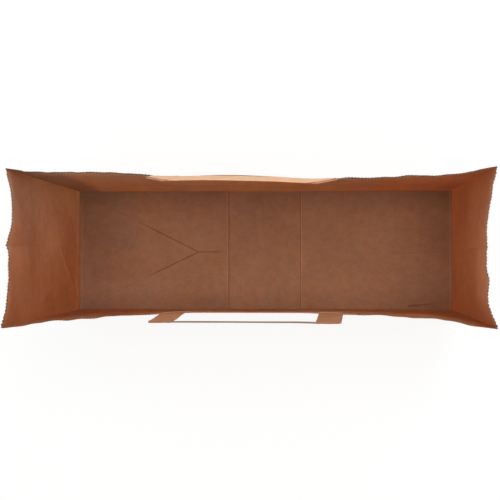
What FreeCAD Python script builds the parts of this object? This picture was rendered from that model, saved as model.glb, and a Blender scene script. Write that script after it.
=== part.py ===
"""Flat-handled kraft paper carrier bag, standing open and empty.

Millimetres. +X runs along the wide walls, +Y from the front wall to the back wall, +Z up.
The origin is on the surface that the bag stands on, under the middle of its base.
"""
import FreeCAD, Part
import math
import os

# ---- the sheet and the block it is folded into
BAG_WIDTH = 440.0
BAG_DEPTH = 140.0
BAG_HEIGHT = 390.0
PAPER = 0.25

# ---- how the open mouth differs from the base rectangle
CORNER_FLARE = 2.0      # each rim corner stands out this far, both ways
FRONT_LEAN = 12.0       # the middle of the front wall's rim leans in this far
BACK_LEAN = 7.5         # the same on the back wall
FLAT_SPAN = 204.0       # middle of each wide wall that the handle holds flat

# ---- gusset walls
CREASE_LEAN = 6.0       # the centre crease's top stands in this far
GUSSET_BOW = 5.5        # each half of a gusset bows in between corner and crease
TUCK_RISE = 140.0       # the two base creases meet on the centre crease at this height
TUCK_LEAN = 4.0         # and the wall stands in this far where they meet

# ---- serrated top edge
TOOTH_PITCH = 3.7
TOOTH_DEPTH = 1.0
TRIM_SPARE = 3.0        # paper left above the tooth tips until the edge is cut

# ---- block bottom and glue seam
SIDE_FLAP = 177.0       # inner flaps, folded in from the gussets
FRONT_FLAP = 88.0       # outermost flap, folded back from the front wall
SEAM_LAP = 20.0         # overlap down the back wall where the tube is glued

# ---- handles
HANDLE_WIDTH = 160.0    # over both legs
HANDLE_RISE = 95.0      # length of band above the rim
BAND_WIDTH = 21.0
BAND_PLY = 0.7          # thickness of the folded band
LEG_TUCK = 42.0         # length of leg glued under the rim
GLUE_LINE = 0.05
FRONT_HANDLE_X = 4.0
BACK_HANDLE_X = 0.0
FRONT_SWAY = 45.0       # length of band over which the front handle bends outwards
FRONT_SWAY_RADIUS = 290.0
FRONT_CURL_RADIUS = 285.0   # above that it curls back inwards
BACK_SWAY = 60.0        # length of band over which the back handle bends slightly inwards
BACK_SWAY_RADIUS = 1000.0
BACK_CURL_RADIUS = 200.0    # above that it curls further in

# ---- paper strips glued over the legs
PATCH_SPAN = 186.0
PATCH_HEIGHT = 48.0
PATCH_DROP = 4.0        # gap between the rim and the strip's upper edge
PATCH_PAPER = 0.3
PATCH_STEP = 1.5        # width over which the strip steps up on to a leg

HALF_WIDTH = BAG_WIDTH / 2
HALF_DEPTH = BAG_DEPTH / 2
BODY_FOOT = PAPER                       # the walls stand on the outermost flap
BODY_TOP = BAG_HEIGHT + TRIM_SPARE


def vec(x, y, z):
    return FreeCAD.Vector(x, y, z)


def prism(points, direction):
    """Solid made by pushing a closed polygon along a vector."""
    wire = Part.makePolygon(points + points[:1])
    return Part.Face(wire).extrude(direction)


def line(start, end):
    return Part.LineSegment(start, end).toShape()


def arc(start, middle, end):
    return Part.Arc(start, middle, end).toShape()


def at_top(shift):
    """Extend a lean that is given at the rim up to the untrimmed top."""
    return shift * (BODY_TOP - BODY_FOOT) / (BAG_HEIGHT - BODY_FOOT)


def closed_solid(faces):
    shell = Part.Compound(faces)
    shell.sewShape()
    solid = Part.Solid(shell.Shells[0])
    if solid.Volume < 0:
        solid.reverse()
    return solid


# ---- bag body -------------------------------------------------------------------------

def wide_wall(side, lean, inset, foot):
    """Base and top edges of the front (-1) or back (+1) wall, each in three pieces."""
    base_y = side * (HALF_DEPTH - inset)
    flat_y = side * (HALF_DEPTH - at_top(lean) - inset)
    corner_y = side * (HALF_DEPTH + at_top(CORNER_FLARE) - inset)
    base_x = HALF_WIDTH - inset
    corner_x = HALF_WIDTH + at_top(CORNER_FLARE) - inset
    flat_x = FLAT_SPAN / 2

    run = corner_x - flat_x
    rise = abs(corner_y - flat_y)
    radius = (run ** 2 + rise ** 2) / (2 * rise)
    half_turn = math.asin(run / radius) / 2
    mid_x = flat_x + radius * math.sin(half_turn)
    mid_y = flat_y + side * radius * (1 - math.cos(half_turn))

    base_xs = [-base_x, -flat_x, flat_x, base_x]
    base = [line(vec(a, base_y, foot), vec(b, base_y, foot)) for a, b in zip(base_xs, base_xs[1:])]
    top = [
        arc(vec(-corner_x, corner_y, BODY_TOP), vec(-mid_x, mid_y, BODY_TOP),
            vec(-flat_x, flat_y, BODY_TOP)),
        line(vec(-flat_x, flat_y, BODY_TOP), vec(flat_x, flat_y, BODY_TOP)),
        arc(vec(flat_x, flat_y, BODY_TOP), vec(mid_x, mid_y, BODY_TOP),
            vec(corner_x, corner_y, BODY_TOP)),
    ]
    return base, top


def gusset_wall(side, inset, foot):
    """Faces and top edges of the left (-1) or right (+1) wall, folded on its creases."""
    base_x = side * (HALF_WIDTH - inset)
    base_y = HALF_DEPTH - inset
    corner_x = side * (HALF_WIDTH + at_top(CORNER_FLARE) - inset)
    corner_y = HALF_DEPTH + at_top(CORNER_FLARE) - inset
    crease_x = side * (HALF_WIDTH - at_top(CREASE_LEAN) - inset)
    bow_x = (corner_x + crease_x) / 2 - side * GUSSET_BOW

    meet = vec(side * (HALF_WIDTH - TUCK_LEAN - inset), 0, TUCK_RISE)
    crease_top = vec(crease_x, 0, BODY_TOP)
    base_ends = [vec(base_x, hand * base_y, foot) for hand in (-1, 1)]
    top_edges = []
    faces = [Part.Face(Part.makePolygon(base_ends + [meet, base_ends[0]]))]
    for hand, base_end in zip((-1, 1), base_ends):
        corner = vec(corner_x, hand * corner_y, BODY_TOP)
        top_edge = arc(corner, vec(bow_x, hand * corner_y / 2, BODY_TOP), crease_top)
        faces.append(Part.makeRuledSurface(line(base_end, meet), top_edge))
        top_edges.append(top_edge)
    base_edge = line(base_ends[0], base_ends[1])
    return faces, base_edge, top_edges


def wall_face(low, high):
    """Face between a straight edge and the edge above it, flat where that one is straight too."""
    if isinstance(high.Curve, Part.Line):
        ends = [low.Vertexes[0].Point, low.Vertexes[1].Point, high.Vertexes[1].Point, high.Vertexes[0].Point]
        return Part.Face(Part.makePolygon(ends + ends[:1]))
    return Part.makeRuledSurface(low, high)


def bag_block(inset, foot):
    """Closed block bounded by the bag's walls, each moved in by the inset."""
    faces = []
    base_edges = []
    top_edges = []
    for side, lean in ((-1, FRONT_LEAN), (1, BACK_LEAN)):
        base, top = wide_wall(side, lean, inset, foot)
        faces += [wall_face(low, high) for low, high in zip(base, top)]
        base_edges += base
        top_edges += top
    for side in (-1, 1):
        wall_faces, base_edge, wall_top = gusset_wall(side, inset, foot)
        faces += wall_faces
        base_edges.append(base_edge)
        top_edges += wall_top
    for edges in (base_edges, top_edges):
        faces.append(Part.Face(Part.Wire(Part.__sortEdges__(edges))))
    return closed_solid(faces)


def edge_cutter(length):
    """Saw-toothed block that trims one straight run of rim, teeth along X, centred on X = 0."""
    count = round(length / TOOTH_PITCH)
    step = length / count
    end = length / 2
    points = [vec(-end - TRIM_SPARE, 0, BAG_HEIGHT)]
    for tooth in range(count):
        tip_x = -end + tooth * step
        points.append(vec(tip_x, 0, BAG_HEIGHT))
        points.append(vec(tip_x + step / 2, 0, BAG_HEIGHT - TOOTH_DEPTH))
    points.append(vec(end, 0, BAG_HEIGHT))
    above = BODY_TOP + TRIM_SPARE
    points += [vec(x, 0, z) for x, z in
               ((end + TRIM_SPARE, BAG_HEIGHT), (end + TRIM_SPARE, above), (-end - TRIM_SPARE, above))]
    return prism(points, vec(0, BAG_DEPTH, 0))


def rim_cutters():
    """Four saw-toothed cutters that meet on the mitre lines of the bag's corners."""
    corner_x = HALF_WIDTH + CORNER_FLARE
    corner_y = HALF_DEPTH + CORNER_FLARE
    spare = 2 * TRIM_SPARE
    reach = corner_y / 2
    cutters = []
    for half_run, half_gap, turn in ((corner_x, corner_y, 0), (corner_y, corner_x, 90)):
        for side in (0, 180):
            outer = half_run + spare
            inner = half_run - reach
            low = BAG_HEIGHT - 2 * TOOTH_DEPTH
            wedge = prism([
                vec(-outer, -half_gap - spare, low), vec(outer, -half_gap - spare, low),
                vec(inner, -half_gap + reach, low), vec(-inner, -half_gap + reach, low),
            ], vec(0, 0, BODY_TOP + TRIM_SPARE))
            saw = edge_cutter(2 * half_run)
            saw.translate(vec(0, -half_gap - spare, 0))
            cutter = saw.common(wedge)
            cutter.rotate(vec(0, 0, 0), vec(0, 0, 1), turn + side)
            cutters.append(cutter)
    return cutters


def bottom_flaps():
    """Gusset flaps glued on the inside of the base and the front flap glued outside."""
    flaps = []
    into_wall = PAPER / 2
    outer_x = HALF_WIDTH - into_wall
    inner_x = HALF_WIDTH - SIDE_FLAP
    half_y = HALF_DEPTH - into_wall
    for side in (-1, 1):
        outline = [vec(side * x, y, BODY_FOOT + PAPER) for x, y in
                   ((outer_x, -half_y), (inner_x, -half_y), (inner_x, half_y), (outer_x, half_y))]
        flaps.append(prism(outline, vec(0, 0, PAPER)))
    end_y = FRONT_FLAP - HALF_DEPTH
    end_x = HALF_WIDTH - FRONT_FLAP
    flaps.append(prism([
        vec(-HALF_WIDTH, -HALF_DEPTH, 0), vec(HALF_WIDTH, -HALF_DEPTH, 0),
        vec(end_x, end_y, 0), vec(-end_x, end_y, 0),
    ], vec(0, 0, PAPER)))
    return flaps


def seam_lap(block):
    """Second ply of paper where the tube's edge is glued down the outside of the back wall."""
    ply = bag_block(-PAPER, BODY_FOOT).cut(block)
    strip = Part.makeBox(SEAM_LAP, HALF_DEPTH, BODY_TOP)
    strip.translate(vec(HALF_WIDTH - PAPER - SEAM_LAP, HALF_DEPTH / 2, BODY_FOOT))
    return ply.common(strip)


def bag_body():
    block = bag_block(0, BODY_FOOT)
    hollow = bag_block(PAPER, BODY_FOOT + PAPER)
    sheet = block.cut(hollow)
    sheet = sheet.fuse([seam_lap(block)] + bottom_flaps())
    return sheet.cut(rim_cutters()).removeSplitter()


# ---- handles and their strips ---------------------------------------------------------

class WallFace:
    """Inner face of a wide wall, followed upwards by the band of its handle.

    s is the distance up the band from the rim and q the distance from the face into the bag.
    """

    def __init__(self, side, lean, bends):
        """Each bend is a length of band and its radius, which is positive towards the bag's inside."""
        rise = BAG_HEIGHT - BODY_FOOT
        length = math.hypot(lean, rise)
        self.up = vec(0, -side * lean / length, rise / length)
        self.inward = vec(0, -side * rise / length, -lean / length)
        foot = vec(0, side * (HALF_DEPTH - PAPER), BODY_FOOT)
        self.rim = foot + self.up * length
        self.bends = bends

    def point(self, s, q):
        place, up, inward = self.rim, self.up, self.inward
        if s <= 0:
            return place + up * s + inward * q
        for length, radius in self.bends:
            run = min(s, length)
            turn = run / radius
            centre = place + inward * radius
            up, inward = (up * math.cos(turn) + inward * math.sin(turn),
                          inward * math.cos(turn) - up * math.sin(turn))
            place = centre - inward * radius
            s -= run
            if s <= 0:
                break
        return place + inward * q

    def band(self, low_q, high_q, half_length):
        """The band's thickness swept along X, from the leg's foot to the top of the grip."""
        edges = []
        for q in (low_q, high_q):
            edges.append(line(self.point(-LEG_TUCK, q), self.point(0, q)))
            s = 0
            for length, _ in self.bends:
                edges.append(arc(*[self.point(s + share * length, q) for share in (0, 0.5, 1)]))
                s += length
        for end in (-LEG_TUCK, s):
            edges.append(line(self.point(end, low_q), self.point(end, high_q)))
        section = Part.Face(Part.Wire(Part.__sortEdges__(edges)))
        section.translate(vec(-half_length, 0, 0))
        return section.extrude(vec(2 * half_length, 0, 0))


def seen_from_front(outline):
    """Solid of an X-Z outline, deep enough to pass through the whole bag."""
    points = [vec(x, -BAG_DEPTH, z) for x, z in outline]
    return prism(points, vec(0, 2 * BAG_DEPTH, 0))


def handle(face):
    """One flat band folded at 45 degrees at both upper corners, its grip outside its legs."""
    half = HANDLE_WIDTH / 2
    foot_z = face.point(-LEG_TUCK, 0).z - BAND_WIDTH
    grip_z = face.point(HANDLE_RISE - BAND_WIDTH, 0).z
    top_z = face.point(HANDLE_RISE, 0).z
    inner = half - BAND_WIDTH
    slope = BAND_WIDTH / (top_z - grip_z)
    spare = BAND_PLY
    over = inner - slope * spare
    legs = face.band(GLUE_LINE, GLUE_LINE + BAND_PLY, half)
    grip = face.band(GLUE_LINE - BAND_PLY, GLUE_LINE, half)
    grip = grip.common(seen_from_front([(-half, grip_z), (half, grip_z), (over, top_z + spare),
                                        (-over, top_z + spare)]))
    pieces = []
    for side in (-1, 1):
        outline = [(side * half, foot_z), (side * inner, foot_z), (side * inner, top_z), (side * half, grip_z)]
        pieces.append(legs.common(seen_from_front(outline)))
    return grip.fuse(pieces).removeSplitter()


def patch(face):
    """Strip of paper glued to the wall between the legs and stepping up over each leg."""
    half = PATCH_SPAN / 2
    leg_out = HANDLE_WIDTH / 2 + GLUE_LINE
    leg_in = HANDLE_WIDTH / 2 - BAND_WIDTH - GLUE_LINE
    raised = BAND_PLY + GLUE_LINE
    right = [(leg_in - PATCH_STEP, 0), (leg_in, raised), (leg_out, raised), (leg_out + PATCH_STEP, 0), (half, 0)]
    path = [(-x, q) for x, q in reversed(right)] + right
    outline = [(x, q + GLUE_LINE) for x, q in path]
    outline += [(x, q + GLUE_LINE + PATCH_PAPER) for x, q in reversed(path)]
    low_s = -PATCH_DROP - PATCH_HEIGHT
    points = [face.point(low_s, q) + vec(x, 0, 0) for x, q in outline]
    return prism(points, face.up * PATCH_HEIGHT)


def shifted(shape, x):
    shape.translate(vec(x, 0, 0))
    return shape


def main():
    front = WallFace(-1, FRONT_LEAN, [
        (FRONT_SWAY, -FRONT_SWAY_RADIUS), (HANDLE_RISE - FRONT_SWAY, FRONT_CURL_RADIUS)])
    back = WallFace(1, BACK_LEAN, [
        (BACK_SWAY, BACK_SWAY_RADIUS), (HANDLE_RISE - BACK_SWAY, BACK_CURL_RADIUS)])
    nodes = {
        "bag_body": bag_body(),
        "front_handle": shifted(handle(front), FRONT_HANDLE_X),
        "back_handle": shifted(handle(back), BACK_HANDLE_X),
        "front_handle_patch": shifted(patch(front), FRONT_HANDLE_X),
        "back_handle_patch": shifted(patch(back), BACK_HANDLE_X),
    }
    os.makedirs("parts", exist_ok=True)
    for name, shape in nodes.items():
        shape.exportStep(f"parts/{name}.step")
        box = shape.BoundBox
        print(name, "solids", len(shape.Solids), "valid", shape.isValid(), "volume", round(shape.Volume, 1),
              "box", [round(v, 2) for v in (box.XMin, box.YMin, box.ZMin, box.XMax, box.YMax, box.ZMax)])


main()
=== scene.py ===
import bpy
import math
from mathutils import Matrix, Vector, noise


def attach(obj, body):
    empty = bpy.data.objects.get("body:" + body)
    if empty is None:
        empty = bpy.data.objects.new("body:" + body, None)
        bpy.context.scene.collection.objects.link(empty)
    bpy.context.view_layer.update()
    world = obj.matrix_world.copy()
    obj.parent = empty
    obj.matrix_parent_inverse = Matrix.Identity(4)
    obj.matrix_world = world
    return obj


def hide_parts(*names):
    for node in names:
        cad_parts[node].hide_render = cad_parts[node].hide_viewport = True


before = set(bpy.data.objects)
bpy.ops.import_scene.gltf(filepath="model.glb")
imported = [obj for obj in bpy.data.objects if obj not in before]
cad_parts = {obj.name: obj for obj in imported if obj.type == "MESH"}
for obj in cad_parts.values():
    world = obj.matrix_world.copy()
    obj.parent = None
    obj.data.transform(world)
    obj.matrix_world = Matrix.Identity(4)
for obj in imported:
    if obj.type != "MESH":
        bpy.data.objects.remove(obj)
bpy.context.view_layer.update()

# ---- the bag's sizes, metres
BAG_WIDTH = 0.440
BAG_DEPTH = 0.140
BAG_HEIGHT = 0.390
PAPER = 0.00025
CORNER_FLARE = 0.002
FRONT_LEAN = 0.012
BACK_LEAN = 0.0075
FLAT_SPAN = 0.204
CREASE_LEAN = 0.006
TUCK_RISE = 0.140
TUCK_LEAN = 0.004
SIDE_FLAP = 0.177
FRONT_FLAP = 0.088
SEAM_LAP = 0.020
SEAM_STEP = 0.0003
HALF_WIDTH = BAG_WIDTH / 2
HALF_DEPTH = BAG_DEPTH / 2
SEAM_X = HALF_WIDTH - PAPER - SEAM_LAP      # free edge of the seam's second ply

# ---- handles and the strips glued over their legs, metres
HANDLE_WIDTH = 0.160
HANDLE_RISE = 0.095
BAND_WIDTH = 0.021
BAND_PLY = 0.0007
LEG_TUCK = 0.042
GLUE_LINE = 0.00005
HANDLE_X = {-1: 0.0055, 1: 0.0}             # -1 is the front wall's, 1 the back wall's
HANDLE_LEAN = {-1: 0.0040, 1: 0.0008}       # how far each grip leans to the left
HANDLE_SPREAD = {-1: 0.016, 1: 0.0}         # and its share of extra width at the grip
# above the rim: length of each stretch and its radius, negative where it bends outwards
HANDLE_BENDS = {-1: ((0.045, -0.290), (0.050, 0.285)), 1: ((0.060, 1.0), (0.035, 0.200))}
GRIP_FREEDOM = 0.4          # how little the grip follows the wall's bends
PATCH_SPAN = 0.186
PATCH_HEIGHT = 0.048
PATCH_DROP = 0.004          # from the rim to the strip's upper edge
PATCH_PAPER = 0.0003
PATCH_STEP = 0.0015         # width over which the strip steps up on to a leg

# ---- how finely the meshes are divided
COLUMNS_WIDE = 100
COLUMNS_GUSSET = 32
ROWS = 56
FLAP_GRID = (60, 48)
PATCH_GRID = (124, 16)      # along a glued strip and down it
BAND_CUTS = (5, 30)         # across a band and along its legs
GRIP_CUTS = 24              # along half a grip
FOLD_STEPS = 6              # round the fold at its corner
CUTS_PER_EDGE = 2           # rim edges are cut into three, which gives three teeth to two columns

# ---- how the paper has settled, metres; pairs are left or right, then front or back
TOOTH_DEPTH = 0.0015
TOOTH_FLARE = {"gusset": 0.0010, -1: 0.0001, 1: 0.0014}
RIM_ROLL = {-1: 0.0, 1: 0.0006}             # how far the feet of the teeth are carried outwards
CORNER_FADE = 0.05                          # along the rim, both die out towards the corners
GRIP_FADE = 0.012                           # and along the back also towards the grip
GUSSET_BOW = {(-1, -1): 0.0039, (-1, 1): 0.0060, (1, -1): 0.0035, (1, 1): 0.0026}
CORNER_SHIFT = {(-1, -1): 0.0, (-1, 1): 0.0040, (1, -1): -0.0005, (1, 1): 0.0}
CREASE_SHIFT = {-1: 0.0025, 1: -0.0018}     # a gusset's centre crease, outwards at the rim
CREASE_DRIFT = {-1: 0.0024, 1: 0.0009}      # and towards the back
# soft bends of the rim: where, how far they reach each way, how far out they stand
WIDE_BENDS = {
    -1: ((-0.150, 0.085, 0.0042), (0.135, 0.060, 0.0026), (0.195, 0.030, 0.0022),
         (-0.198, 0.030, 0.0016), (-0.085, 0.040, 0.0012), (0.085, 0.040, 0.0012)),
    1: ((-0.130, 0.085, 0.0042), (-0.020, 0.080, 0.0027), (0.060, 0.035, -0.0015),
        (0.105, 0.030, -0.0011), (0.178, 0.030, -0.0017)),
}
GUSSET_BENDS = {
    -1: (),
    1: ((-0.050, 0.022, -0.0030), (-0.030, 0.014, 0.0015), (0.044, 0.012, 0.0012)),
}
LONG_BEND = 0.05            # bends that reach further than this run down the wall
CORNER_REACH = 0.08         # how far along the wall a corner's shift is felt
# waves of the settled paper: their length and how far they stand out, broad ones first
WALL_WAVES = ((0.110, 0.0022), (0.035, 0.0007))
GUSSET_WAVES = ((0.055, 0.0022), (0.016, 0.0007))
RIM_WAVES = (0.013, 0.0011)
BAND_WAVES = (0.060, 0.0005)
RIM_WAVE_DEPTH = 0.035      # the rim's waves die out this far below it
HELD_HALF = 0.125           # the glued strips keep the wall flat this far each way
HELD_FROM = 0.300           # and from this height up
# pressed folds: half their width, and how far each stands out or in
FOLD_REACH = 0.004
GUSSET_FOLD = 0.0006
WALL_FOLD = -0.0008
TUCK_FOLD = -0.0007
# creases of the floor's flaps: start, end, height
FLAP_CREASES = (
    ((-0.078, -0.002), (-0.156, 0.037), 0.0010),
    ((-0.078, -0.002), (-0.150, -0.0365), 0.0010),
    ((-0.078, -0.002), (-0.048, -0.0015), 0.0009),
    ((-0.156, 0.037), (-0.215, 0.067), 0.0002),
    ((-0.150, -0.0365), (-0.215, -0.067), 0.0002),
    ((0.150, -0.004), (0.215, -0.001), 0.0002),
    ((0.168, -0.0655), (0.200, -0.0625), 0.0010),
)
CREASE_REACH = 0.007        # half width of the paper's rise along a crease
FULL_CREASE = 0.0010        # a crease of this height is drawn at its full tone
FLAP_GAP = 0.0006           # between a flap and the walls round it
FLAP_EDGE_LIFT = 0.0013     # how far a flap's free edge stands up
FLAP_EDGE_REACH = 0.026     # and how far in from the edge it lies flat again
FLAP_WAVES = ((0.050, 0.0004), (0.020, 0.0002))
FOOT_ROLL = 0.0012          # how far a flap rises where it rolls into the gusset

# ---- where the sheet's parts lie in its UV map, metres; the front and the left are negative
WALL_AT = 1.2
GUSSET_AT = 0.5
FLAP_AT = 2.0
BASE_AT = 1.0
GRIP_AT = 0.5

# ---- tones of painted light, shade and highlights, multiplied on the paper's colour, and where they lie, metres
# painted shade: the front wall's inner face is painted darker
FRONT_WALL_SHADE_TONE = (0.80, 0.74, 0.66)
RIM_LINE = 0.0030           # depth of the painted shade line along the trimmed edge
# painted shade along the rim: dark on its inner face, lighter on its outer face
INNER_RIM_SHADE_TONE = (0.27, 0.20, 0.155)
OUTER_RIM_SHADE_TONE = (0.78, 0.74, 0.70)
ROLLED_LINE = 0.0048        # depth of the painted shade along the back rim's rolled edge
ROLLED_SHADE_TONE = (0.30, 0.25, 0.22)
OPAQUE_RIM = 0.0020         # no light passes above this depth
# painted light: the floor is painted less orange than the walls, which catch more light reflected
# by and passed through the paper
FLOOR_LIGHT_TINT = (0.98, 0.91, 0.87)
# painted shade on the floor, towards the front and back walls
FLOOR_FRONT_BACK_SHADE = (0.82, 0.82, 0.84)
# painted shade on the floor's left and right ends, past this X
FLOOR_END = 0.140
FLOOR_LEFT_SHADE = (0.80, 0.80, 0.84)
FLOOR_RIGHT_SHADE = (0.90, 0.88, 0.86)
UPPER_WALLS_FROM = 0.240        # the inner walls are painted darker from this height up
UPPER_WALLS_TONE = (0.80, 0.72, 0.62)
LEFT_GUSSET_LIGHT_FROM = -0.020         # painted light: the left gusset is paler and greyer behind this Y
LEFT_GUSSET_LIGHT_TONE = (1.08, 1.34, 1.86)
BACK_WALL_LIGHT_UNTIL = 0.150           # painted light: the back wall is paler and greyer left of this X
BACK_WALL_LIGHT_TONE = (1.00, 1.24, 1.55)
BEND_FOOT = -0.188          # painted shade on the back wall's left corner, past a bend along a line between these X
BEND_TOP = -0.160
BEND_SHADE_TONE = (0.66, 0.72, 0.78)
# painted light: inside the back wall the doubled seam is painted lighter, in place of the glow its
# second ply holds back
SEAM_GLOW_TONE = (1.28, 1.34, 1.22)
# painted highlight along the tuck fold of the front and back walls
TUCK_FOLD_HIGHLIGHT_TONE = (1.14, 1.15, 1.17)
FOOT_FOLD = 0.019           # a painted highlight runs round the foot of each gusset at this height, along a fold
FOOT_LINE_HIGHLIGHT_TONE = (1.30, 1.34, 1.42)
# painted highlight where a flap rolls up into its gusset
FLAP_FOOT_HIGHLIGHT_TONE = (1.12, 1.14, 1.18)
# painted highlight on the flaps' free edges; beside them, a painted shadow on the ply under them
FLAP_EDGE_HIGHLIGHT_TONE = (1.26, 1.28, 1.30)
SHADOW_TONE = (0.78, 0.75, 0.72)
# creases: painted shade, together with the darker burnished fibres along them
CREASE_SHADE_TONE = (0.55, 0.50, 0.46)
CREASE_LINE = 0.0012        # half width of a crease's dark line, painted shade and burnished fibres
CREASE_FADE = 0.35          # share of its length over which it fades away
# painted shade on a band's face towards the bag
BAND_INNER_SHADE_TONE = (0.64, 0.46, 0.375)
GRIP_TOP_SHADE_LINE = 0.0026          # width of the painted shade along the front grip's top
GRIP_TOP_SHADE_TONE = (0.20, 0.31, 0.44)
HARD = 0.001                # softness of an edge that is meant to be sharp

# ---- colours of the papers
BAG_KRAFT = (0.58, 0.285, 0.158)
BAG_THINNESS = 0.8          # share of light that the single ply scatters through
# painted light: the handles' kraft is lighter than the bag's, for the strong light on the back grip
HANDLE_LIT_KRAFT = (0.76, 0.47, 0.285)
PATCH_KRAFT = (0.55, 0.30, 0.175)

# ---- stage
FLOOR_SIZE = 8
FLOOR_GAP = 0.0002          # the floor lies this far below the bag
FLOOR_GLOW = 0.85           # how much of the floor is plain white to the camera
SKY_STRENGTH = 0.52
# lamps: name, place, aim, size, watts
LAMPS = (
    ("top_softbox", (0.0, -0.04, 2.5), (0, 0, 0), 1.6, 29),
    ("key_softbox", (0.20, 0.30, 2.4), (0, 0, 0), 0.8, 13),
    ("back_softbox", (0.60, 1.50, 1.70), (0, 0, 0.2), 1.0, 11),
)
CAMERA_PLACE = (0.065, -0.009, 1.590)
CAMERA_AIM = (-0.0174, 0.0004, 0)
CAMERA_LENS = 97            # millimetres, on a 36 mm sensor

TINY = 1e-5                 # shorter lengths count as nothing, metres


# ---------------------------------------------------------------- helpers

def clear_selection():
    bpy.ops.object.select_all(action="DESELECT")


def make_active(piece):
    clear_selection()
    piece.select_set(True)
    bpy.context.view_layer.objects.active = piece


def settle(piece):
    """Put the piece's place and size into its mesh."""
    make_active(piece)
    bpy.ops.object.transform_apply(location=True, rotation=True, scale=True)


def apply_modifier(piece, kind, **settings):
    make_active(piece)
    modifier = piece.modifiers.new(kind.lower(), kind)
    for name, value in settings.items():
        setattr(modifier, name, value)
    bpy.ops.object.modifier_apply(modifier=modifier.name)


def select_faces(piece, test):
    """Select the faces whose centre and normal pass the test, and go into edit mode."""
    make_active(piece)
    bpy.ops.object.mode_set(mode="EDIT")
    bpy.ops.mesh.select_mode(type="FACE")
    bpy.ops.mesh.select_all(action="DESELECT")
    bpy.ops.object.mode_set(mode="OBJECT")
    for face in piece.data.polygons:
        face.select = test(face.center, face.normal)
    bpy.ops.object.mode_set(mode="EDIT")


def select_edges(piece, test):
    """Select the edges whose two ends pass the test, and go into edit mode."""
    make_active(piece)
    bpy.ops.object.mode_set(mode="EDIT")
    bpy.ops.mesh.select_mode(type="EDGE")
    bpy.ops.mesh.select_all(action="DESELECT")
    bpy.ops.object.mode_set(mode="OBJECT")
    points = piece.data.vertices
    for edge in piece.data.edges:
        edge.select = test(points[edge.vertices[0]].co, points[edge.vertices[1]].co)
    bpy.ops.object.mode_set(mode="EDIT")


def leave_edit():
    bpy.ops.object.mode_set(mode="OBJECT")


def divide_along(piece, axis, count):
    """Cut every edge that runs along the axis into the same number of parts."""
    select_edges(piece, lambda a, b: abs(a[axis] - b[axis]) > TINY
                 and all(abs(a[k] - b[k]) < TINY for k in range(3) if k != axis))
    bpy.ops.mesh.subdivide(number_cuts=count - 1)
    leave_edit()


def smooth(piece, degrees):
    """Shade smoothly, but keep edges sharper than the angle."""
    make_active(piece)
    bpy.ops.object.shade_smooth_by_angle(angle=math.radians(degrees))


def mix(a, b, share):
    return a + (b - a) * share


def clamp(value, low=0.0, high=1.0):
    return max(low, min(high, value))


def smooth_step(value):
    value = clamp(value)
    return value * value * (3 - 2 * value)


def distance_to_line(x, y, start, end):
    dx, dy = end[0] - start[0], end[1] - start[1]
    along = clamp(((x - start[0]) * dx + (y - start[1]) * dy) / (dx * dx + dy * dy))
    return math.hypot(x - start[0] - along * dx, y - start[1] - along * dy)


def soft_noise(x, y, z, size):
    return noise.noise(Vector((x / size, y / size, z / size)))


def fold_profile(away):
    """Height of a pressed fold: 1 on its line, 0 beside it."""
    return max(0.0, 1 - away / FOLD_REACH)


# ---------------------------------------------------------------- bag body

def wide_rim(x, side):
    """Y of the front or back wall's rim at a place along it."""
    lean = FRONT_LEAN if side < 0 else BACK_LEAN
    flat = HALF_DEPTH - lean
    corner = HALF_DEPTH + CORNER_FLARE
    reach = HALF_WIDTH + CORNER_FLARE - FLAT_SPAN / 2
    run = clamp(abs(x) - FLAT_SPAN / 2, 0, reach)
    rise = corner - flat
    radius = (reach ** 2 + rise ** 2) / (2 * rise)
    return side * (flat + radius - math.sqrt(radius ** 2 - run ** 2))


def gusset_rim(share, side, hand):
    """X of a gusset's rim, from its centre crease (0) to its corner (1)."""
    crease = HALF_WIDTH - CREASE_LEAN
    corner = HALF_WIDTH + CORNER_FLARE
    bow = GUSSET_BOW[(side, hand)]
    return side * (mix(crease, corner, share) - 4 * bow * share * (1 - share))


def corner_pull(x, side, height):
    """How far a corner of the mouth has been drawn in towards the middle of the bag."""
    hand = -1 if x < 0 else 1
    near = smooth_step((abs(x) - HALF_WIDTH + CORNER_REACH) / CORNER_REACH)
    return -hand * CORNER_SHIFT[(hand, side)] * near * height ** 1.5


def bend_out(bends, along, height):
    """How far soft bends carry the wall outwards; short ones die out sooner below the rim."""
    total = 0.0
    for middle, reach, outwards in bends:
        fade = height if reach > LONG_BEND else height ** 3
        total += outwards * smooth_step(1 - abs(along - middle) / reach) * fade
    return total


def place_on_wide_wall(x, side, z):
    """X and Y that a point of the front or back wall moves to."""
    height = z / BAG_HEIGHT
    stretch = CORNER_FLARE / HALF_WIDTH
    rim_x = x * (1 + stretch * smooth_step((abs(x) - FLAT_SPAN / 2) / (HALF_WIDTH - FLAT_SPAN / 2)))
    y = mix(side * HALF_DEPTH, wide_rim(rim_x, side), height)
    y += side * bend_out(WIDE_BENDS[side], x, height)
    return mix(x, rim_x, height) + corner_pull(x, side, height), y


def place_on_gusset(y, side, z):
    """X and Y that a point of a gusset moves to."""
    hand = -1 if y < 0 else 1
    share = abs(y) / HALF_DEPTH
    start_z = TUCK_RISE * (1 - share)
    rim_y = y * (1 + CORNER_FLARE / HALF_DEPTH) + CREASE_DRIFT[side] * (1 - share)
    if z <= start_z:
        return side * (HALF_WIDTH - TUCK_LEAN * z / TUCK_RISE), y
    climb = (z - start_z) / (BAG_HEIGHT - start_z)
    low_x = side * (HALF_WIDTH - TUCK_LEAN * (1 - share))
    pull = -side * CORNER_SHIFT[(side, hand)] * share ** 2 * (z / BAG_HEIGHT) ** 1.5
    pull += side * CREASE_SHIFT[side] * (1 - share) * climb
    pull += side * bend_out(GUSSET_BENDS[side], y, z / BAG_HEIGHT)
    return mix(low_x, gusset_rim(share, side, hand), climb) + pull, mix(y, rim_y, climb)


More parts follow.
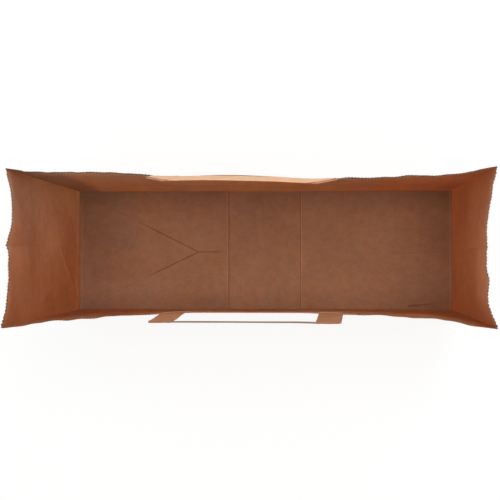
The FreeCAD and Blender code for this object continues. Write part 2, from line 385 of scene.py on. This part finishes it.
def wall_ripple(x, z, side):
    """How far the front or back wall has buckled, outwards positive."""
    edge = smooth_step((HALF_WIDTH - abs(x)) / 0.03) * smooth_step(z / 0.03)
    held = 1 - smooth_step((HELD_HALF - abs(x)) / 0.03) * smooth_step((z - HELD_FROM) / 0.03)
    (broad, broad_depth), (fine, fine_depth) = WALL_WAVES
    waves = soft_noise(x, side * 3.1, z * 0.6, broad) * broad_depth
    waves += soft_noise(x, side * 7.7, z * 0.45, fine) * fine_depth
    waves += rim_flutter(x, side, z)
    return (waves * held + WALL_FOLD * fold_profile(abs(z - TUCK_RISE))) * edge


def rim_flutter(along, side, z):
    """Small waves in the free edge of the paper, dying out below it."""
    free = smooth_step((z - BAG_HEIGHT + RIM_WAVE_DEPTH) / RIM_WAVE_DEPTH)
    length, depth = RIM_WAVES
    return soft_noise(along, side * 11.3, 0.0, length) * depth * free


def gusset_ripple(y, z, side):
    """How far a gusset has buckled, outwards positive."""
    edge = smooth_step((HALF_DEPTH - abs(y)) / 0.02) * smooth_step(z / 0.02)
    (broad, broad_depth), (fine, fine_depth) = GUSSET_WAVES
    waves = soft_noise(side * 5.3, y, z * 0.7, broad) * broad_depth
    waves += soft_noise(side * 2.9, y * 1.3, z * 0.8, fine) * fine_depth
    waves += rim_flutter(y, side + 4.0, z)
    off_slope = abs(z - TUCK_RISE * (1 - abs(y) / HALF_DEPTH))
    off_slope *= HALF_DEPTH / math.hypot(HALF_DEPTH, TUCK_RISE)
    crease = GUSSET_FOLD * fold_profile(abs(y)) * smooth_step((z - 0.02) / 0.05)
    return (waves + TUCK_FOLD * fold_profile(off_slope)) * edge + crease


def settle_walls(piece):
    """Move every point of the straight box to where the opened bag's wall stands."""
    for point in piece.data.vertices:
        x, y, z = point.co
        if abs(abs(x) - HALF_WIDTH) < TINY:
            side = 1 if x > 0 else -1
            new_x, new_y = place_on_gusset(y, side, z)
            point.co = (new_x + side * gusset_ripple(y, z, side), new_y, z)
        elif abs(abs(y) - HALF_DEPTH) < TINY:
            side = 1 if y > 0 else -1
            new_x, new_y = place_on_wide_wall(x, side, z)
            point.co = (new_x, new_y + side * wall_ripple(x, z, side), z)


def serrate_rim(piece):
    """Cut the top edge into fine teeth; gives the points at their tips and at their feet."""
    select_edges(piece, lambda a, b: min(a.z, b.z) > BAG_HEIGHT - TINY
                 and (a - b).length > 2 * SEAM_STEP)
    bpy.ops.mesh.subdivide(number_cuts=CUTS_PER_EDGE)
    leave_edit()
    rim = [e for e in piece.data.edges
           if all(piece.data.vertices[v].co.z > BAG_HEIGHT - TINY for v in e.vertices)]
    neighbours = {}
    for edge in rim:
        a, b = edge.vertices
        neighbours.setdefault(a, []).append(b)
        neighbours.setdefault(b, []).append(a)
    start = min(neighbours, key=lambda v: sum(piece.data.vertices[v].co.xy))
    before, here, step = None, start, 0
    tips, feet = [], []
    while True:
        if step % 2:
            piece.data.vertices[here].co.z -= TOOTH_DEPTH
            feet.append(here)
        else:
            tips.append(here)
        following = [v for v in neighbours[here] if v != before]
        before, here, step = here, following[0], step + 1
        if here == start:
            break
    return tips, feet


def flare_teeth(piece, tips, feet):
    """Bend each tooth slightly outwards; along the back the whole edge rolls out a little."""
    for index in tips + feet:
        point = piece.data.vertices[index]
        is_tip = point.co.z > BAG_HEIGHT - TOOTH_DEPTH / 2
        if abs(abs(point.co.x) - HALF_WIDTH) < 0.02 and abs(point.co.y) < HALF_DEPTH - 0.001:
            point.co.x += math.copysign(TOOTH_FLARE["gusset"], point.co.x) * is_tip
        else:
            side = 1 if point.co.y > 0 else -1
            share = smooth_step((HALF_WIDTH + CORNER_FLARE - abs(point.co.x)) / CORNER_FADE)
            if side > 0:
                share *= smooth_step((abs(point.co.x) - HANDLE_WIDTH / 2) / GRIP_FADE)
            point.co.y += side * (TOOTH_FLARE[side] if is_tip else RIM_ROLL[side]) * share


def sheet_uv(piece, side_flap=False):
    """Lay the paper's own directions on the piece: V runs with the grain, up the walls."""
    layer = piece.data.uv_layers[0]
    layer.name = "sheet"
    for face in piece.data.polygons:
        normal = face.normal
        for loop in face.loop_indices:
            x, y, z = piece.data.vertices[piece.data.loops[loop].vertex_index].co
            if side_flap:
                place = (y + FLAP_AT, x)
            elif abs(normal.z) > 0.7:
                place = (x, y - BASE_AT)
            elif abs(normal.x) > abs(normal.y):
                place = (y + math.copysign(GUSSET_AT, normal.x), z)
            else:
                place = (x + math.copysign(WALL_AT, normal.y), z)
            layer.data[loop].uv = place


def seam_points(piece):
    """Points of the back wall where the tube's second ply is glued on, by its right edge."""
    return [point.index for point in piece.data.vertices
            if abs(point.co.y - HALF_DEPTH) < TINY
            and SEAM_X - TINY < point.co.x < HALF_WIDTH - TINY]


def make_bag_shell():
    """Walls and base of the folded sheet, as one thin-walled shell open at the top."""
    clear_selection()
    bpy.ops.mesh.primitive_cube_add(size=1, location=(0, 0, (BAG_HEIGHT + PAPER) / 2))
    shell = bpy.context.active_object
    shell.name = "folded_sheet"
    shell.scale = (BAG_WIDTH, BAG_DEPTH, BAG_HEIGHT - PAPER)
    settle(shell)
    select_faces(shell, lambda centre, normal: normal.z > 0.9)
    bpy.ops.mesh.delete(type="ONLY_FACE")
    leave_edit()
    divide_along(shell, 0, COLUMNS_WIDE)
    divide_along(shell, 1, COLUMNS_GUSSET)
    divide_along(shell, 2, ROWS)
    for hand in (-1, 1):
        select_faces(shell, lambda centre, normal: abs(normal.x) > 0.9 and centre.y * hand > 0)
        bpy.ops.mesh.bisect(plane_co=(0, hand * HALF_DEPTH, 0),
                            plane_no=(0, hand * TUCK_RISE, HALF_DEPTH))
        leave_edit()
    for x in (SEAM_X, SEAM_X - SEAM_STEP):
        select_faces(shell, lambda centre, normal: normal.y > 0.9)
        bpy.ops.mesh.bisect(plane_co=(x, 0, 0), plane_no=(1, 0, 0))
        leave_edit()
    tips, feet = serrate_rim(shell)
    doubled = seam_points(shell)
    settle_walls(shell)
    flare_teeth(shell, tips, feet)
    return shell, doubled


def creases_of(side):
    """Creases of the left or the right flap."""
    return [crease for crease in FLAP_CREASES if crease[0][0] * side > 0]


def flap_lift(x, y, side):
    """Height of a base flap above the ply under it."""
    from_edge = abs(x) - (HALF_WIDTH - SIDE_FLAP)
    lift = FLAP_EDGE_LIFT * smooth_step(1 - from_edge / FLAP_EDGE_REACH)
    (broad, broad_lift), (fine, fine_lift) = FLAP_WAVES
    lift += broad_lift * (1 + soft_noise(x, y, side * 4.0, broad))
    lift += fine_lift * (1 + soft_noise(x, y * 2.5, side * 9.0, fine))
    for start, end, height in creases_of(side):
        lift += height * max(0.0, 1 - distance_to_line(x, y, start, end) / CREASE_REACH)
    lift *= smooth_step((HALF_WIDTH - 0.0008 - abs(x)) / 0.012)
    lift *= smooth_step((HALF_DEPTH - 0.0008 - abs(y)) / 0.008)
    return lift + FOOT_ROLL * smooth_step((abs(x) - HALF_WIDTH + 0.0045) / 0.004)


def make_side_flap(side):
    """Gusset flap folded in over the base, its free edge standing slightly off the ply under it."""
    clear_selection()
    length = SIDE_FLAP - FLAP_GAP
    centre_x = side * (HALF_WIDTH - FLAP_GAP - length / 2)
    bpy.ops.mesh.primitive_plane_add(size=1, location=(centre_x, 0, PAPER * 3))
    flap = bpy.context.active_object
    flap.name = "side_flap"
    flap.scale = (length, BAG_DEPTH - 2 * FLAP_GAP, 1)
    settle(flap)
    divide_along(flap, 0, FLAP_GRID[0])
    divide_along(flap, 1, FLAP_GRID[1])
    for start, end, _ in creases_of(side):
        make_active(flap)
        bpy.ops.object.mode_set(mode="EDIT")
        bpy.ops.mesh.select_all(action="SELECT")
        run = Vector((end[0] - start[0], end[1] - start[1], 0))
        bpy.ops.mesh.bisect(plane_co=(start[0], start[1], 0), plane_no=(-run.y, run.x, 0))
        leave_edit()
    for point in flap.data.vertices:
        point.co.z += flap_lift(point.co.x, point.co.y, side)
    return flap


def make_outer_flap():
    """Front wall's flap, folded back under the base, its ends cut at 45 degrees."""
    clear_selection()
    bpy.ops.mesh.primitive_plane_add(size=1, location=(0, FRONT_FLAP / 2 - HALF_DEPTH, 0))
    flap = bpy.context.active_object
    flap.name = "outer_flap"
    flap.scale = (BAG_WIDTH, FRONT_FLAP, 1)
    settle(flap)
    for point in flap.data.vertices:
        if point.co.y > 0:
            point.co.x -= math.copysign(FRONT_FLAP, point.co.x)
    return flap


def make_bag_body():
    shell, doubled = make_bag_shell()
    side_flaps = [make_side_flap(side) for side in (-1, 1)]
    pieces = [shell, make_outer_flap()] + side_flaps
    for piece in pieces:
        sheet_uv(piece, piece in side_flaps)
    apply_modifier(shell, "SOLIDIFY", thickness=PAPER, offset=-1, use_even_offset=True,
                   use_quality_normals=True)
    for index in doubled:
        shell.data.vertices[index].co.y += PAPER
    for ply in pieces[1:]:
        apply_modifier(ply, "SOLIDIFY", thickness=PAPER, offset=1, use_even_offset=True)
    make_active(shell)
    for flap in pieces[1:]:
        flap.select_set(True)
    bpy.ops.object.join()
    shell.name = "bag_paper"
    smooth(shell, 12)
    return shell


# ---------------------------------------------------------------- handles

def up_the_wall(side, s, q):
    """Y and Z of a point s up the band from the rim and q inwards from the wall's inner face."""
    lean = FRONT_LEAN if side < 0 else BACK_LEAN
    tilt = math.atan2(lean, BAG_HEIGHT)
    into, rise = lean + PAPER - HALF_DEPTH, BAG_HEIGHT
    if s <= 0:
        into, rise = into + s * math.sin(tilt), rise + s * math.cos(tilt)
    else:
        for length, radius in HANDLE_BENDS[side]:
            run = min(s, length)
            turn = run / radius
            into += radius * (math.cos(tilt) - math.cos(tilt + turn))
            rise += radius * (math.sin(tilt + turn) - math.sin(tilt))
            tilt += turn
            s -= run
            if s <= 0:
                break
    into += q * math.cos(tilt)
    rise -= q * math.sin(tilt)
    return -side * into, rise


def wrap_on_wall(piece, side):
    """Carry a flat piece, drawn as X, depth into the bag and height from the rim, to its wall."""
    for point in piece.data.vertices:
        x, q, s = point.co
        sway = smooth_step(s / HANDLE_RISE)
        length, depth = BAND_WAVES
        ripple = soft_noise(x, side * 6.0, s, length) * depth * sway
        y, z = up_the_wall(side, s, q + ripple)
        x = x * (1 + HANDLE_SPREAD[side] * sway) + HANDLE_X[side]
        bend = bend_out(WIDE_BENDS[side], x, min(1, z / BAG_HEIGHT))
        y += side * bend * (1 - GRIP_FREEDOM * sway)
        x -= HANDLE_LEAN[side] * sway
        point.co = (x, y, z)
    select_faces(piece, lambda centre, normal: True)
    bpy.ops.mesh.normals_make_consistent(inside=False)
    leave_edit()


def band_uv(piece):
    """Lay the band's length along V, up the legs and along the grip."""
    layer = piece.data.uv_layers[0]
    layer.name = "sheet"
    for face in piece.data.polygons:
        on_leg = face.center.y > -BAND_PLY / 4
        for loop in face.loop_indices:
            x, q, s = piece.data.vertices[piece.data.loops[loop].vertex_index].co
            layer.data[loop].uv = (x, s) if on_leg else (s + GRIP_AT, x - BASE_AT)


def make_handle(side):
    """Flat folded band: a leg, a fold at 45 degrees and half the grip, mirrored."""
    half = HANDLE_WIDTH / 2
    leg_q = GLUE_LINE + BAND_PLY / 2
    fold_radius = (BAND_PLY + GLUE_LINE) / 2
    fold_line = half + HANDLE_RISE - BAND_WIDTH
    length = LEG_TUCK + HANDLE_RISE
    clear_selection()
    leg_x = half - BAND_WIDTH / 2
    bpy.ops.mesh.primitive_plane_add(
        size=1, location=(leg_x, leg_q, HANDLE_RISE - length / 2), rotation=(math.pi / 2, 0, 0))
    band = bpy.context.active_object
    band.name = "front_grip_band" if side < 0 else "back_grip_band"
    band.scale = (BAND_WIDTH, length, 1)
    settle(band)
    for point in band.data.vertices:
        if point.co.x > half - TINY and point.co.z > 0:
            point.co.z -= BAND_WIDTH
    select_edges(band, lambda a, b: (a.z < 0) == (b.z < 0))
    bpy.ops.mesh.subdivide(number_cuts=BAND_CUTS[0])
    leave_edit()
    select_edges(band, lambda a, b: (a.z < 0) != (b.z < 0))
    bpy.ops.mesh.subdivide(number_cuts=BAND_CUTS[1])
    leave_edit()
    select_edges(band, lambda a, b: min(a.x + a.z, b.x + b.z) > fold_line - TINY)
    bpy.ops.mesh.spin(steps=FOLD_STEPS, angle=math.pi, axis=(math.sqrt(0.5), 0, -math.sqrt(0.5)),
                      center=(leg_x, leg_q - fold_radius, HANDLE_RISE - BAND_WIDTH / 2))
    bpy.ops.mesh.extrude_edges_move(TRANSFORM_OT_translate={"value": (0, 0, 0)})
    leave_edit()
    for point in band.data.vertices:
        if point.select:
            point.co.x = 0
    select_edges(band, lambda a, b: min(a.x, b.x) < TINY < abs(a.x - b.x))
    bpy.ops.mesh.subdivide(number_cuts=GRIP_CUTS)
    leave_edit()
    apply_modifier(band, "MIRROR", merge_threshold=TINY)
    band_uv(band)
    wrap_on_wall(band, side)
    apply_modifier(band, "SOLIDIFY", thickness=BAND_PLY, offset=0, use_even_offset=True)
    smooth(band, 30)
    return band


def make_patch(side):
    """Paper strip glued to the wall and pressed down round each leg."""
    clear_selection()
    bpy.ops.mesh.primitive_plane_add(
        size=1, location=(0, GLUE_LINE + PATCH_PAPER / 2, -PATCH_DROP - PATCH_HEIGHT / 2),
        rotation=(math.pi / 2, 0, 0))
    strip = bpy.context.active_object
    strip.name = "front_glue_strip" if side < 0 else "back_glue_strip"
    strip.scale = (PATCH_SPAN, PATCH_HEIGHT, 1)
    settle(strip)
    divide_along(strip, 0, PATCH_GRID[0])
    divide_along(strip, 2, PATCH_GRID[1])
    leg_middle = HANDLE_WIDTH / 2 - BAND_WIDTH / 2
    for point in strip.data.vertices:
        beside = abs(abs(point.co.x) - leg_middle) - BAND_WIDTH / 2
        over = smooth_step(1 - (beside - 0.0002) / PATCH_STEP)
        above_foot = smooth_step((point.co.z + LEG_TUCK + PATCH_STEP) / PATCH_STEP)
        point.co.y += (BAND_PLY + GLUE_LINE) * over * above_foot
    sheet_uv(strip)
    wrap_on_wall(strip, side)
    apply_modifier(strip, "SOLIDIFY", thickness=PATCH_PAPER, offset=0, use_even_offset=True)
    smooth(strip, 30)
    return strip


# ---------------------------------------------------------------- paper

class Paint:
    """Adds nodes to one material. Values are sockets, plain numbers or colours."""

    def __init__(self, name):
        self.material = bpy.data.materials.new(name)
        self.material.use_nodes = True
        self.tree = self.material.node_tree
        self.nodes = self.tree.nodes
        self.links = self.tree.links
        self.shader = self.nodes["Principled BSDF"]

    def put(self, value, socket):
        if isinstance(value, (int, float)):
            socket.default_value = value
        elif isinstance(value, tuple):
            socket.default_value = (*value, 1)
        else:
            self.links.new(value, socket)

    def split(self, vector):
        """The first two coordinates of a vector."""
        node = self.nodes.new("ShaderNodeSeparateXYZ")
        self.links.new(vector, node.inputs[0])
        return node.outputs["X"], node.outputs["Y"]

    def calc(self, operation, first, second=0.0, limit=False):
        """One step of arithmetic, kept between 0 and 1 on request."""
        node = self.nodes.new("ShaderNodeMath")
        node.operation = operation
        node.use_clamp = limit
        self.put(first, node.inputs[0])
        self.put(second, node.inputs[1])
        return node.outputs[0]

    def plus(self, first, second):
        return self.calc("ADD", first, second)

    def minus(self, first, second):
        return self.calc("SUBTRACT", first, second)

    def times(self, first, *others):
        for other in others:
            first = self.calc("MULTIPLY", first, other)
        return first

    def size_of(self, value):
        return self.calc("ABSOLUTE", value)

    def above(self, value, edge, softness=HARD):
        """Rises from 0 to 1 as the value grows past the edge."""
        return self.calc("DIVIDE", self.minus(value, edge), softness, limit=True)

    def below(self, value, edge, softness=HARD):
        """Rises from 0 to 1 as the value falls past the edge."""
        return self.above(value, edge, -softness)

    def near(self, value, middle, reach):
        """1 at the middle, falling to 0 at the reach on both sides."""
        return self.below(self.size_of(self.minus(value, middle)), reach, reach)

    def within(self, value, middle, reach):
        """1 all the way out to the reach on both sides, and 0 beyond it."""
        return self.above(self.near(value, middle, reach), HARD)

    def multiply(self, colour, tone, share):
        """Multiply the colour by the tone, as far as the share says."""
        node = self.nodes.new("ShaderNodeMix")
        node.data_type = "RGBA"
        node.blend_type = "MULTIPLY"
        self.put(share, node.inputs["Factor"])
        self.put(colour, node.inputs[6])
        self.put(tone, node.inputs[7])
        return node.outputs[2]

    def pattern(self, place, scale, detail, along, roughness=0.6):
        """Cloudy noise; a small value of along draws it out with the grain."""
        mapping = self.nodes.new("ShaderNodeMapping")
        mapping.inputs["Scale"].default_value = (1.0, along, 1.0)
        noise_node = self.nodes.new("ShaderNodeTexNoise")
        noise_node.inputs["Scale"].default_value = scale
        noise_node.inputs["Detail"].default_value = detail
        noise_node.inputs["Roughness"].default_value = roughness
        self.links.new(place, mapping.inputs["Vector"])
        self.links.new(mapping.outputs["Vector"], noise_node.inputs["Vector"])
        return noise_node.outputs["Fac"]

    def ramp(self, source, *stops):
        """A colour that runs between two stops."""
        node = self.nodes.new("ShaderNodeValToRGB")
        for element, (position, colour) in zip(node.color_ramp.elements, stops):
            element.position = position
            element.color = (*colour, 1)
        self.links.new(source, node.inputs["Fac"])
        return node.outputs["Color"]

    def bump(self, source, distance, strength, before=None):
        node = self.nodes.new("ShaderNodeBump")
        node.inputs["Distance"].default_value = distance
        node.inputs["Strength"].default_value = strength
        self.links.new(source, node.inputs["Height"])
        if before is not None:
            self.links.new(before, node.inputs["Normal"])
        return node.outputs["Normal"]

    def crease(self, place, start, end):
        """A thin straight line on the sheet that fades away towards its end."""
        run = Vector(end) - Vector(start)
        node = self.nodes.new("ShaderNodeMapping")
        node.vector_type = "TEXTURE"
        node.inputs["Location"].default_value = (*start, 0)
        node.inputs["Rotation"].default_value = (0, 0, math.atan2(run.y, run.x))
        node.inputs["Scale"].default_value = (run.length, CREASE_LINE, 1)
        self.links.new(place, node.inputs["Vector"])
        along, across = self.split(node.outputs["Vector"])
        return self.times(self.near(across, 0, 1), self.above(along, 0, 0.01),
                          self.below(along, 1, CREASE_FADE))

    def faces_inwards(self):
        """1 on surfaces that face the middle of the bag and 0 on its outside; then their Y."""
        spot = self.nodes.new("ShaderNodeTexCoord")
        facing = self.split(spot.outputs["Normal"])
        where = self.split(spot.outputs["Object"])
        outward = 0.0
        for direction, position, reach in zip(facing, where, (HALF_WIDTH, HALF_DEPTH)):
            share = self.times(position, 1 / reach)
            outward = self.plus(outward, self.times(direction, share))
        return self.below(outward, -0.1, 0.2), where[1]


def paint_light_and_shade(paint, place, colour):
    """Painted shade, light and highlights on the rim, walls, floor, flap edges, foot folds and
    creases, found from their place on the sheet.
    """
    above, below, near, times = paint.above, paint.below, paint.near, paint.times
    across, up = paint.split(place)
    wide = paint.size_of(across)
    run = paint.size_of(up)
    inside, _ = paint.faces_inwards()

    on_flap = above(across, (WALL_AT + FLAP_AT) / 2)
    on_base = below(up, -BASE_AT / 2)
    on_wide_wall = paint.within(wide, WALL_AT, 1.3 * HALF_WIDTH)
    on_gusset = paint.within(wide, GUSSET_AT, 1.3 * HALF_DEPTH)
    on_left_gusset = times(on_gusset, below(across, 0))
    on_right_gusset = times(on_gusset, above(across, 0))
    on_front = times(on_wide_wall, below(across, 0))
    on_back = times(on_wide_wall, above(across, 0))
    back_inside = times(inside, on_back)

    at_rim = above(up, BAG_HEIGHT - RIM_LINE, 0.0012)
    rolled_edge_shade = above(up, BAG_HEIGHT - ROLLED_LINE, 0.0010)
    beyond_grip = above(paint.size_of(paint.minus(across, WALL_AT)), HANDLE_WIDTH / 2, GRIP_FADE)
    on_floor = above(paint.plus(on_flap, on_base), 0.5, 0.1)
    from_middle = paint.size_of(paint.plus(times(on_flap, paint.minus(across, FLAP_AT)),
                                           times(on_base, paint.plus(up, BASE_AT))))
    flap_edge = HALF_WIDTH - SIDE_FLAP
    slant = times(up, (BEND_TOP - BEND_FOOT) / BAG_HEIGHT)
    past_bend = below(paint.minus(across, slant), WALL_AT + BEND_FOOT, 0.012)

    # each entry is a painted tone and the mask of where it lies
    marks = [
        # painted shade inside the front wall
        (FRONT_WALL_SHADE_TONE, times(inside, on_front)),
        # painted shade along the rim, inside and outside
        (INNER_RIM_SHADE_TONE, times(at_rim, inside)),
        (OUTER_RIM_SHADE_TONE, times(at_rim, paint.minus(1, inside))),
        # painted light: the floor less orange than the walls
        (FLOOR_LIGHT_TINT, on_floor),
        # painted shade on the floor towards the walls and at its ends
        (FLOOR_FRONT_BACK_SHADE, times(on_floor, above(from_middle, 0.042, 0.024))),
        (FLOOR_LEFT_SHADE, times(on_flap, below(up, -FLOOR_END, 0.060))),
        (FLOOR_RIGHT_SHADE, times(on_flap, above(up, FLOOR_END, 0.060))),
        # painted shade along the back rim's rolled edge, away from the grip
        (ROLLED_SHADE_TONE, times(back_inside, rolled_edge_shade, beyond_grip)),
        # inner walls painted darker towards the rim, except the right gusset
        (UPPER_WALLS_TONE, times(inside, above(up, UPPER_WALLS_FROM, 0.100),
                             paint.minus(1, on_right_gusset))),
        # painted light on the back part of the left gusset
        (LEFT_GUSSET_LIGHT_TONE, times(inside, on_left_gusset, above(across, LEFT_GUSSET_LIGHT_FROM - GUSSET_AT, 0.080))),
        # painted light on the back wall's inner face
        (BACK_WALL_LIGHT_TONE, times(back_inside, below(across, WALL_AT + BACK_WALL_LIGHT_UNTIL, 0.150))),
        # painted highlight on the flaps' free edges
        (FLAP_EDGE_HIGHLIGHT_TONE, times(on_flap, below(run, flap_edge + 0.0012, 0.0005))),
        (SHADOW_TONE, times(on_base, above(wide, flap_edge - 0.0018, 0.0009))),
        # painted highlight at the flaps' feet
        (FLAP_FOOT_HIGHLIGHT_TONE, times(on_flap, above(run, HALF_WIDTH - 0.0042, 0.0008))),
        # painted highlight along the tuck fold
        (TUCK_FOLD_HIGHLIGHT_TONE, times(on_wide_wall, near(up, TUCK_RISE, 0.0022))),
        # painted highlight round the foot of each gusset
        (FOOT_LINE_HIGHLIGHT_TONE, times(inside, on_gusset, near(up, FOOT_FOLD, 0.006))),
        # painted shade past the bend in the back wall's left corner
        (BEND_SHADE_TONE, times(back_inside, past_bend)),
        # painted light on the seam's doubled ply
        (SEAM_GLOW_TONE, times(back_inside, above(across, WALL_AT + SEAM_X))),
    ]
    # creases: painted shade and burnished fibres
    for start, end, depth in FLAP_CREASES:
        strength = min(1.0, depth / FULL_CREASE)
        tone = tuple(mix(1, part, strength) for part in CREASE_SHADE_TONE)
        marks.append((tone, paint.crease(place, (start[1] + FLAP_AT, start[0]),
                                         (end[1] + FLAP_AT, end[0]))))
    for tone, mask in marks:
        colour = paint.multiply(colour, tone, mask)
    return colour


def band_painted_shade(paint, place, colour):
    """Painted shade: a band's face towards the bag is painted darker, and so is the front one's top
    edge.
    """
    inside, where_y = paint.faces_inwards()
    across, _ = paint.split(place)
    top_edge = paint.above(across, GRIP_AT + HANDLE_RISE - GRIP_TOP_SHADE_LINE, 0.0014)
    # painted shade on the band's inner face
    colour = paint.multiply(colour, BAND_INNER_SHADE_TONE, inside)
    # painted shade along the front grip's top edge
    return paint.multiply(colour, GRIP_TOP_SHADE_TONE, paint.times(top_edge, paint.below(where_y, 0)))


def let_light_through(paint, place, share):
    """The single ply glows where light falls on its far side, but not along the trimmed edge."""
    _, up = paint.split(place)
    below_rim = paint.below(up, BAG_HEIGHT - OPAQUE_RIM, 0.0010)
    paint.put(paint.times(below_rim, share), paint.shader.inputs["Subsurface Weight"])
    paint.shader.inputs["Subsurface Radius"].default_value = (1.0, 0.76, 0.42)
    paint.shader.inputs["Subsurface Scale"].default_value = 0.0012


def kraft_paper(name, base, marks=None, thin=0.0):
    """Uncoated kraft: cloudy fibre, fine ribs along the grain, dark and light flecks."""
    paint = Paint(name)
    shader = paint.shader
    place = paint.nodes.new("ShaderNodeTexCoord").outputs["UV"]
    cloud = paint.pattern(place, 14, 5, 0.55)
    mottle = paint.pattern(place, 110, 4, 0.75, 0.65)
    hue = paint.pattern(place, 32, 3, 0.8)
    ribs = paint.pattern(place, 520, 2, 0.04)
    fibre = paint.pattern(place, 900, 4, 0.25, 0.7)
    fleck = paint.pattern(place, 2300, 1, 0.3)
    crumple = paint.pattern(place, 55, 3, 0.7, 0.5)

    dark = tuple(0.90 * part for part in base)
    light = tuple(min(1.0, 1.10 * part) for part in base)
    plain = (1, 1, 1)
    colour = paint.ramp(cloud, (0.32, dark), (0.70, light))
    for share, source, low, high in (
            (0.9, mottle, (0.34, (0.89, 0.875, 0.86)), (0.66, (1.05, 1.05, 1.06))),
            (0.9, hue, (0.36, (1.03, 0.975, 0.92)), (0.64, (0.975, 1.01, 1.05))),
            (0.25, ribs, (0.30, (0.90, 0.89, 0.88)), (0.70, plain)),
            (0.7, fibre, (0.25, (0.82, 0.80, 0.78)), (0.62, plain)),
            (0.5, fleck, (0.22, (0.55, 0.48, 0.42)), (0.30, plain))):
        colour = paint.multiply(colour, paint.ramp(source, low, high), share)
    if marks:
        colour = marks(paint, place, colour)
    paint.put(colour, shader.inputs["Base Color"])

    rough = paint.nodes.new("ShaderNodeMapRange")
    rough.inputs["To Min"].default_value = 0.72
    rough.inputs["To Max"].default_value = 0.92
    paint.put(cloud, rough.inputs["Value"])
    paint.put(rough.outputs["Result"], shader.inputs["Roughness"])
    shader.inputs["Specular IOR Level"].default_value = 0.25
    if thin:
        let_light_through(paint, place, thin)

    normal = paint.bump(crumple, 0.0012, 0.4)
    normal = paint.bump(ribs, 0.00010, 0.4, normal)
    normal = paint.bump(fibre, 0.00006, 0.8, normal)
    paint.put(normal, shader.inputs["Normal"])
    return paint.material


# ---------------------------------------------------------------- stage

def show_to_camera(tree, usual, seen, share, target):
    """Camera rays see the second shader, as far as the share says; other rays see the first."""
    path = tree.nodes.new("ShaderNodeLightPath")
    part = tree.nodes.new("ShaderNodeMath")
    part.operation = "MULTIPLY"
    part.inputs[1].default_value = share
    blend = tree.nodes.new("ShaderNodeMixShader")
    for source, socket in ((path.outputs["Is Camera Ray"], part.inputs[0]),
                           (part.outputs[0], blend.inputs["Fac"]),
                           (usual.outputs[0], blend.inputs[1]),
                           (seen.outputs[0], blend.inputs[2]),
                           (blend.outputs[0], target.inputs["Surface"])):
        tree.links.new(source, socket)


def make_stage():
    clear_selection()
    bpy.ops.mesh.primitive_plane_add(size=FLOOR_SIZE, location=(0, 0, -FLOOR_GAP))
    floor = bpy.context.active_object
    floor.name = "studio_floor"
    paint = Paint("pale_floor")
    shader = paint.shader
    shader.inputs["Base Color"].default_value = (0.92, 0.92, 0.92, 1)
    shader.inputs["Roughness"].default_value = 0.9
    shader.inputs["Specular IOR Level"].default_value = 0.0
    glow = paint.nodes.new("ShaderNodeEmission")
    glow.inputs["Color"].default_value = (1, 1, 1, 1)
    glow.inputs["Strength"].default_value = 1.0
    show_to_camera(paint.tree, shader, glow, FLOOR_GLOW, paint.nodes["Material Output"])
    floor.data.materials.append(paint.material)


def make_lamp(name, place, aim, size, power):
    clear_selection()
    bpy.ops.object.light_add(type="AREA", location=place)
    lamp = bpy.context.active_object
    lamp.name = name
    lamp.data.shape = "DISK"
    lamp.data.size = size
    lamp.data.energy = power
    lamp.rotation_euler = (Vector(aim) - Vector(place)).to_track_quat("-Z", "Y").to_euler()


def make_light():
    world = bpy.data.worlds.new("studio")
    bpy.context.scene.world = world
    world.use_nodes = True
    nodes = world.node_tree.nodes
    sky = nodes["Background"]
    sky.inputs["Color"].default_value = (1.0, 0.99, 0.97, 1)
    sky.inputs["Strength"].default_value = SKY_STRENGTH
    backdrop = nodes.new("ShaderNodeBackground")
    backdrop.inputs["Color"].default_value = (1, 1, 1, 1)
    show_to_camera(world.node_tree, sky, backdrop, 1.0, nodes["World Output"])
    for lamp in LAMPS:
        make_lamp(*lamp)


def make_camera():
    """Looks almost straight down into the bag, with the back wall at the top of the view."""
    clear_selection()
    bpy.ops.object.camera_add(location=CAMERA_PLACE)
    camera = bpy.context.active_object
    camera.name = "view_from_above"
    camera.data.sensor_width = 36
    camera.data.lens = CAMERA_LENS
    backward = (camera.location - Vector(CAMERA_AIM)).normalized()
    right = Vector((0, 1, 0)).cross(backward).normalized()
    upward = backward.cross(right)
    camera.rotation_euler = Matrix((right, upward, backward)).transposed().to_euler()
    bpy.context.scene.camera = camera


make_camera()
make_light()
make_stage()

bag = make_bag_body()
bag.data.materials.append(kraft_paper("bag_kraft", BAG_KRAFT, paint_light_and_shade, thin=BAG_THINNESS))
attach(bag, "root")
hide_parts("bag_body")

handle_kraft = kraft_paper("handle_kraft", HANDLE_LIT_KRAFT, band_painted_shade)
patch_kraft = kraft_paper("patch_kraft", PATCH_KRAFT)
for side, wall in ((-1, "front"), (1, "back")):
    band = make_handle(side)
    band.data.materials.append(handle_kraft)
    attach(band, "root")
    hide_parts(wall + "_handle")
    strip = make_patch(side)
    strip.data.materials.append(patch_kraft)
    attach(strip, "root")
    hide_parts(wall + "_handle_patch")

bpy.context.scene.view_settings.view_transform = "Standard"
